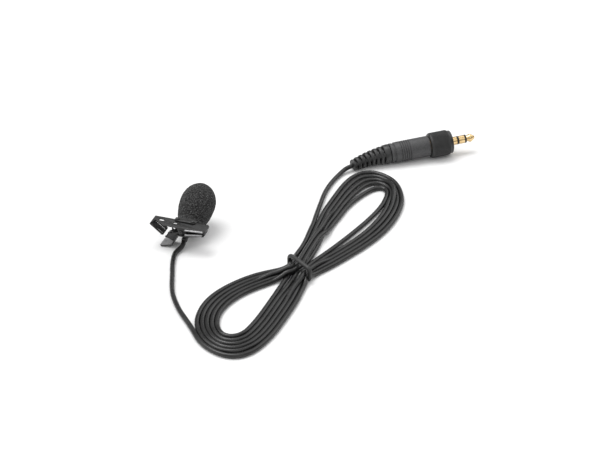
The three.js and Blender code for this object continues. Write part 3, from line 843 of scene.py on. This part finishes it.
def holder():
    half, bottom, thick = 4.3, CLIP_TOP + 0.15, 0.6
    far = CLIP_NEAR + CLIP_WIDTH + 0.3
    near = CLIP_NEAR + 3.6
    flange = flat_sheet(rounded([
        (RING.x - half, near), (RING.x + half, near), (RING.x + half, far + 0.1), (RING.x - half, far + 0.1),
    ], [0.8, 0.8, 0.3, 0.3]), [], thick, 0.12)
    flange.transform(Matrix.Translation(mm(0, 0, bottom + thick / 2)))
    strip = flat_sheet(rounded([
        (RING.x - 3.2, 8.3), (RING.x + 3.2, 8.3),
        (RING.x + 3.2, bottom + thick), (RING.x - 3.2, bottom + thick),
    ], 0.3), [], thick, 0.12)
    for vert in strip.verts:
        x, z, y = vert.co * 1000
        vert.co = mm(x, far + thick / 2 + y, z)
    inner = open_ring(2.15, 1.4, 40)
    outer = open_ring(3.9, 1.4, 60)[::-1]
    ring = flat_sheet(inner + outer, [], 0.7, 0.12)
    for vert in ring.verts:
        x, z, y = vert.co * 1000
        vert.co = mm(x, 0.1 + y, z)
    ring.transform(MIC_FRAME)
    return add_object("holder", joined(flange, strip, ring))


finish_piece(holder(), "black_steel", "clip", "mic_holder_ring")

RIVET_HEAD = [(0, -1.05), (0.5, -1.05), (0.55, -0.85), (0.3, -0.8), (0.3, 0.85), (0.78, 0.9), (0.8, 1.0),
              (0.7, 1.16), (0.5, 1.26), (0.25, 1.31), (0, 1.32)]
UPRIGHT = Matrix.Rotation(math.radians(90), 4, "X")
for number, offset in ((1, -3.2), (2, 3.2)):
    rivet = add_object(f"rivet_{number}", turned(RIVET_HEAD, 32))
    place(rivet, Matrix.Translation(mm(RING.x + offset, CLIP_NEAR + 4.5, CLIP_TOP)) @ UPRIGHT)
    finish_piece(rivet, "black_steel", "clip", f"holder_rivet_{number}")

PIN = [(0, -0.62), (0.5, -0.6), (0.78, -0.48), (0.85, -0.3), (0.85, -0.15), (0.45, -0.12),
       (0.45, CLIP_WIDTH + 0.1), (0, CLIP_WIDTH + 0.1)]
pin = place(add_object("pivot_pin", turned(PIN, 32)), Matrix.Translation(clip_point(PIVOT[0], 0, PIVOT[1])))
finish_piece(pin, "black_steel", "clip", "clip_pivot_pin")


# ---- foam windscreen ----
FOAM_WIDEST, FOAM_END, FOAM_RADIUS, FOAM_REAR_REACH = 11.2, 20.0, 7.0, 12.6
PORES_PER_METRE, LUMPS_PER_METRE = 2100, 420
PORE_DEPTH, LUMP_DEPTH = 0.00022, 0.00009


def foam_radius(along):
    reach = FOAM_REAR_REACH if along < FOAM_WIDEST else FOAM_END - FOAM_WIDEST
    return FOAM_RADIUS * math.sqrt(max(1 - ((along - FOAM_WIDEST) / reach) ** 2, 0))


def windscreen():
    rim = [(3.3, 1.1), (3.45, 0.75), (3.9, 0.5), (4.5, 0.5),
           (5.05, 0.8), (5.35, 1.4), (5.3, 2.1), (5.15, 2.8)]
    profile = [(0, 12.8), (2.7, 12.5), (3.3, 12.0), (3.3, 6.0), *rim]
    fine = 190
    low = math.asin((3.5 - FOAM_WIDEST) / FOAM_REAR_REACH)
    for step in range(fine):
        turn = lerp(low, math.pi / 2, step / (fine - 1))
        along = FOAM_WIDEST + math.sin(turn) * (FOAM_REAR_REACH if turn < 0 else FOAM_END - FOAM_WIDEST)
        profile.append((foam_radius(along) if step < fine - 1 else 0, along))
    bm = turned(profile, 300)
    bm.normal_update()
    for vert in bm.verts:
        outside_bore = vert.co.x ** 2 + vert.co.z ** 2 > 0.0036 ** 2
        if vert.co.y > 0.0005 and (outside_bore or vert.co.y > 0.013):
            pores = noise.voronoi(vert.co * PORES_PER_METRE)[0][0]
            lumps = noise.fractal(vert.co * LUMPS_PER_METRE, 0.8, 2.0, 3)
            vert.co += vert.normal * (PORE_DEPTH * (0.45 - pores) + LUMP_DEPTH * lumps)
    return add_object("windscreen_foam", bm, 180)


screen = place(windscreen(), MIC_FRAME)
finish_piece(screen, "foam", "windscreen", "foam_windscreen")


# ---- capsule housing and boot ----
HOUSING = [
    (1.2, -1.05), (2.3, -1.05), (2.4, -0.95), (2.4, -0.62),
    (2.3, -0.55), (1.9, -0.55), (1.9, 0.8), (2.85, 0.8),
    (3.0, 0.95), (3.0, 11.85), (2.85, 12.0), (2.6, 12.0), (2.6, 1.5), (1.2, 1.5),
]
BOOT = [
    (0, -6.0), (0.98, -6.0), (1.05, -5.9), (1.2, -5.4), (1.2, -1.35), (0.95, -1.35), (0.95, 1.8), (1.9, 1.8),
    (1.9, 2.4), (0, 2.4),
]
for name, profile, slot_name, node in (
    ("housing", HOUSING, "black_brass", "capsule_housing"), ("boot", BOOT, "black_rubber", "cable_boot"),
):
    finish_piece(place(add_object(name, turned(profile)), MIC_FRAME), slot_name, "microphone", node)


# ---- tie ----
def tie_ring():
    half, high = (TIE_LENGTH - TIE_ROD) / 2, TIE_HEIGHT - TIE_ROD / 2
    low = TIE_ROD / 2
    outline = rounded([(-half, low), (half, low), (half, high), (-half, high)], 1.8)
    points = []
    for (ax, az), (bx, bz) in zip(outline, outline[1:] + outline[:1]):
        for share in np.linspace(0, 1, 6, endpoint=False):
            x, z = ax + (bx - ax) * share, az + (bz - az) * share
            crown = 0.25 * math.cos(math.pi * x / (2 * half)) if z > TIE_HEIGHT / 2 else 0
            points.append((WAIST[0] + x * math.cos(TIE_TURN), WAIST[1] + x * math.sin(TIE_TURN), z + crown))
    return add_object("tie", rod_along(points, TIE_ROD / 2, closed=True), 180)


finish_piece(tie_ring(), "black_rubber", "microphone", "twist_tie")


# ---- plug ----
def bent_rear(obj):
    """Bends the relief's rear towards its sag. The mesh is in the plug's own frame."""
    sag = PLUG_FRAME.to_3x3().inverted() @ SAG_AXIS
    for vert in obj.data.vertices:
        point = vert.co * 1000
        share = 1 - point.y / RELIEF_END
        tilt = math.atan(RELIEF_SLOPE * share)
        side = point.x * sag.x + point.z * sag.z
        point += sag * (RELIEF_SAG.length * share ** 2 + side * (math.cos(tilt) - 1))
        point.y += side * math.sin(tilt)
        vert.co = point / 1000
    return obj


# the angle of one bridge between the relief's rings
BRIDGE_ANGLE = math.radians(118)
RIBS, RIB_PITCH, GROOVE = 7, 2.1, 0.95
WINDOW_DEPTH = 1.25


def relief_radius(along):
    return 2.42 + 1.75 * along / RELIEF_END


def strain_relief():
    """Rings on a core, with four bridges between each two, so that dark windows show between them."""
    profile, windows = [(0, 0), (2.0, 0), (2.3, 0.1), (2.42, 0.35)], [0, 0, 0, 0]
    for index in range(RIBS):
        start = 0.9 + index * RIB_PITCH
        end = start + GROOVE
        for along, inset, window in (
            (start - 0.25, 0.0, 0), (start, 0.12, 0), (start + 0.06, 0.2, 1), (start + 0.14, 0.25, 1),
            (end - 0.14, 0.25, 1), (end - 0.06, 0.2, 1), (end, 0.12, 0), (end + 0.2, 0.0, 0),
        ):
            profile.append((relief_radius(along) - inset, along))
            windows.append(window)
    widest = relief_radius(RELIEF_END)
    profile += [(relief_radius(16.2), 16.2), (widest - 0.1, 16.9),
                (widest - 0.25, RELIEF_END), (0, RELIEF_END)]
    windows += [0, 0, 0, 0]

    def window_depth(index, angle):
        if not windows[index]:
            return 0
        place_in_quarter = ((angle - BRIDGE_ANGLE) % (math.pi / 2)) / (math.pi / 2)
        opening = min(place_in_quarter, 1 - place_in_quarter) * 2
        return -WINDOW_DEPTH * min(max((opening - 0.3) / 0.12, 0), 1)

    return add_object("relief", turned(profile, 144, window_depth), 40)


def plug_shell():
    start = RELIEF_END + 0.3
    profile = [(3.6, start), (4.0, start), (4.15, start + 0.12), (4.15, start + 1.1), (4.05, start + 1.2),
               (3.85, start + 1.25), (3.85, start + 1.75), (4.1, start + 1.85), (4.3, start + 2.1)]
    for groove in range(5):
        along = start + 4.2 + groove * 0.95
        profile += [(4.36, along), (4.3, along + 0.08), (4.02, along + 0.2), (4.02, along + 0.34),
                    (4.3, along + 0.46), (4.36, along + 0.54)]
    profile += [(4.36, 34.2), (4.25, 34.4), (2.6, 34.4), (2.6, 33.4), (3.6, 33.4)]
    return add_object("plug_shell", turned(profile, 96))


KNURLS = 72
KNURL_DEPTH = 0.1


def collar():
    profile = [(2.75, 34.7), (4.6, 34.7), (4.9, 34.85), (5.15, 35.2), (5.2, 35.4)]
    first = len(profile)
    profile += [(5.22, 35.6 + step * 0.5) for step in range(15)]
    last = len(profile)
    profile += [(5.15, 43.0), (4.95, 43.3), (4.85, 43.5), (4.85, 44.2), (4.7, 44.4), (3.9, 44.4),
                (3.9, 38.4), (3.65, 38.4), (3.65, 35.4), (2.75, 35.4)]

    def knurl(index, angle):
        return KNURL_DEPTH * math.cos(angle * KNURLS) if first <= index < last else 0

    return add_object("collar", turned(profile, 6 * KNURLS, knurl), 180)


plug_pieces = [
    (bent_rear(strain_relief()), "black_rubber", "microphone", "strain_relief"),
    (plug_shell(), "plug_plastic", "microphone", "plug_body"),
    (collar(), "black_brass", "collar", "locking_collar"),
]
JACK = 1.75


def stacked(inner, tail, start, end, rear):
    return [(inner, rear), (tail, rear), (tail, start), (JACK - 0.05, start), (JACK, start + 0.05),
            (JACK, end - 0.05), (JACK - 0.05, end), (inner, end)]


CONTACTS = {
    "sleeve_contact": ("gold", [(1.35, 31.0), (2.35, 31.0), (2.35, 35.7), (3.3, 35.7), (3.3, 36.7),
                                (JACK, 36.7), (JACK, 46.95), (1.7, 47.0), (1.35, 47.0)]),
    "ring_insulator": ("nylon", stacked(1.1, 1.22, 47.15, 47.7, 30.0)),
    "ring_contact": ("gold", stacked(0.8, 0.98, 47.85, 50.4, 28.5)),
    "tip_insulator": ("nylon", stacked(0.48, 0.68, 50.55, 51.2, 27.0)),
    "tip_contact": ("gold", [(0, 26.0), (0.35, 26.0), (0.35, 51.4), (1.15, 51.4), (1.2, 51.55), (1.25, 51.8),
                             (1.45, 52.25), (1.68, 52.7), (1.75, 53.0), (1.72, 53.3), (1.5, 53.75),
                             (1.15, 54.3), (0.8, 54.8), (0.5, 55.08), (0.2, 55.19), (0, 55.2)]),
}
for name, (slot_name, profile) in CONTACTS.items():
    piece_name = name.replace("_contact", "_metal").replace("_insulator", "_spacer")
    contact = add_object(piece_name, turned(profile, 64))
    plug_pieces.append((contact, slot_name, "microphone", name))
for piece, slot_name, body, node in plug_pieces:
    finish_piece(place(piece, PLUG_FRAME), slot_name, body, node)

# ---- the CAD parts inside keep their shapes ----
INSIDE = {
    "front_grille": "bright_steel", "acoustic_cloth": "nylon", "element_can": "bright_steel",
    "diaphragm": "film", "backplate": "gold", "circuit_board": "board_green",
    "transistor": "nylon", "rear_gasket": "black_rubber",
    "cable_crimp": "bright_steel", "retaining_ring": "bright_steel", "solder_lug_1": "bright_steel",
    "solder_lug_2": "bright_steel", "plug_cable_clamp": "bright_steel",
}
for name, slot_name in INSIDE.items():
    for material_slot in NODES[name].material_slots:
        material_slot.link = "OBJECT"
        material_slot.material = PAINTS[slot_name]
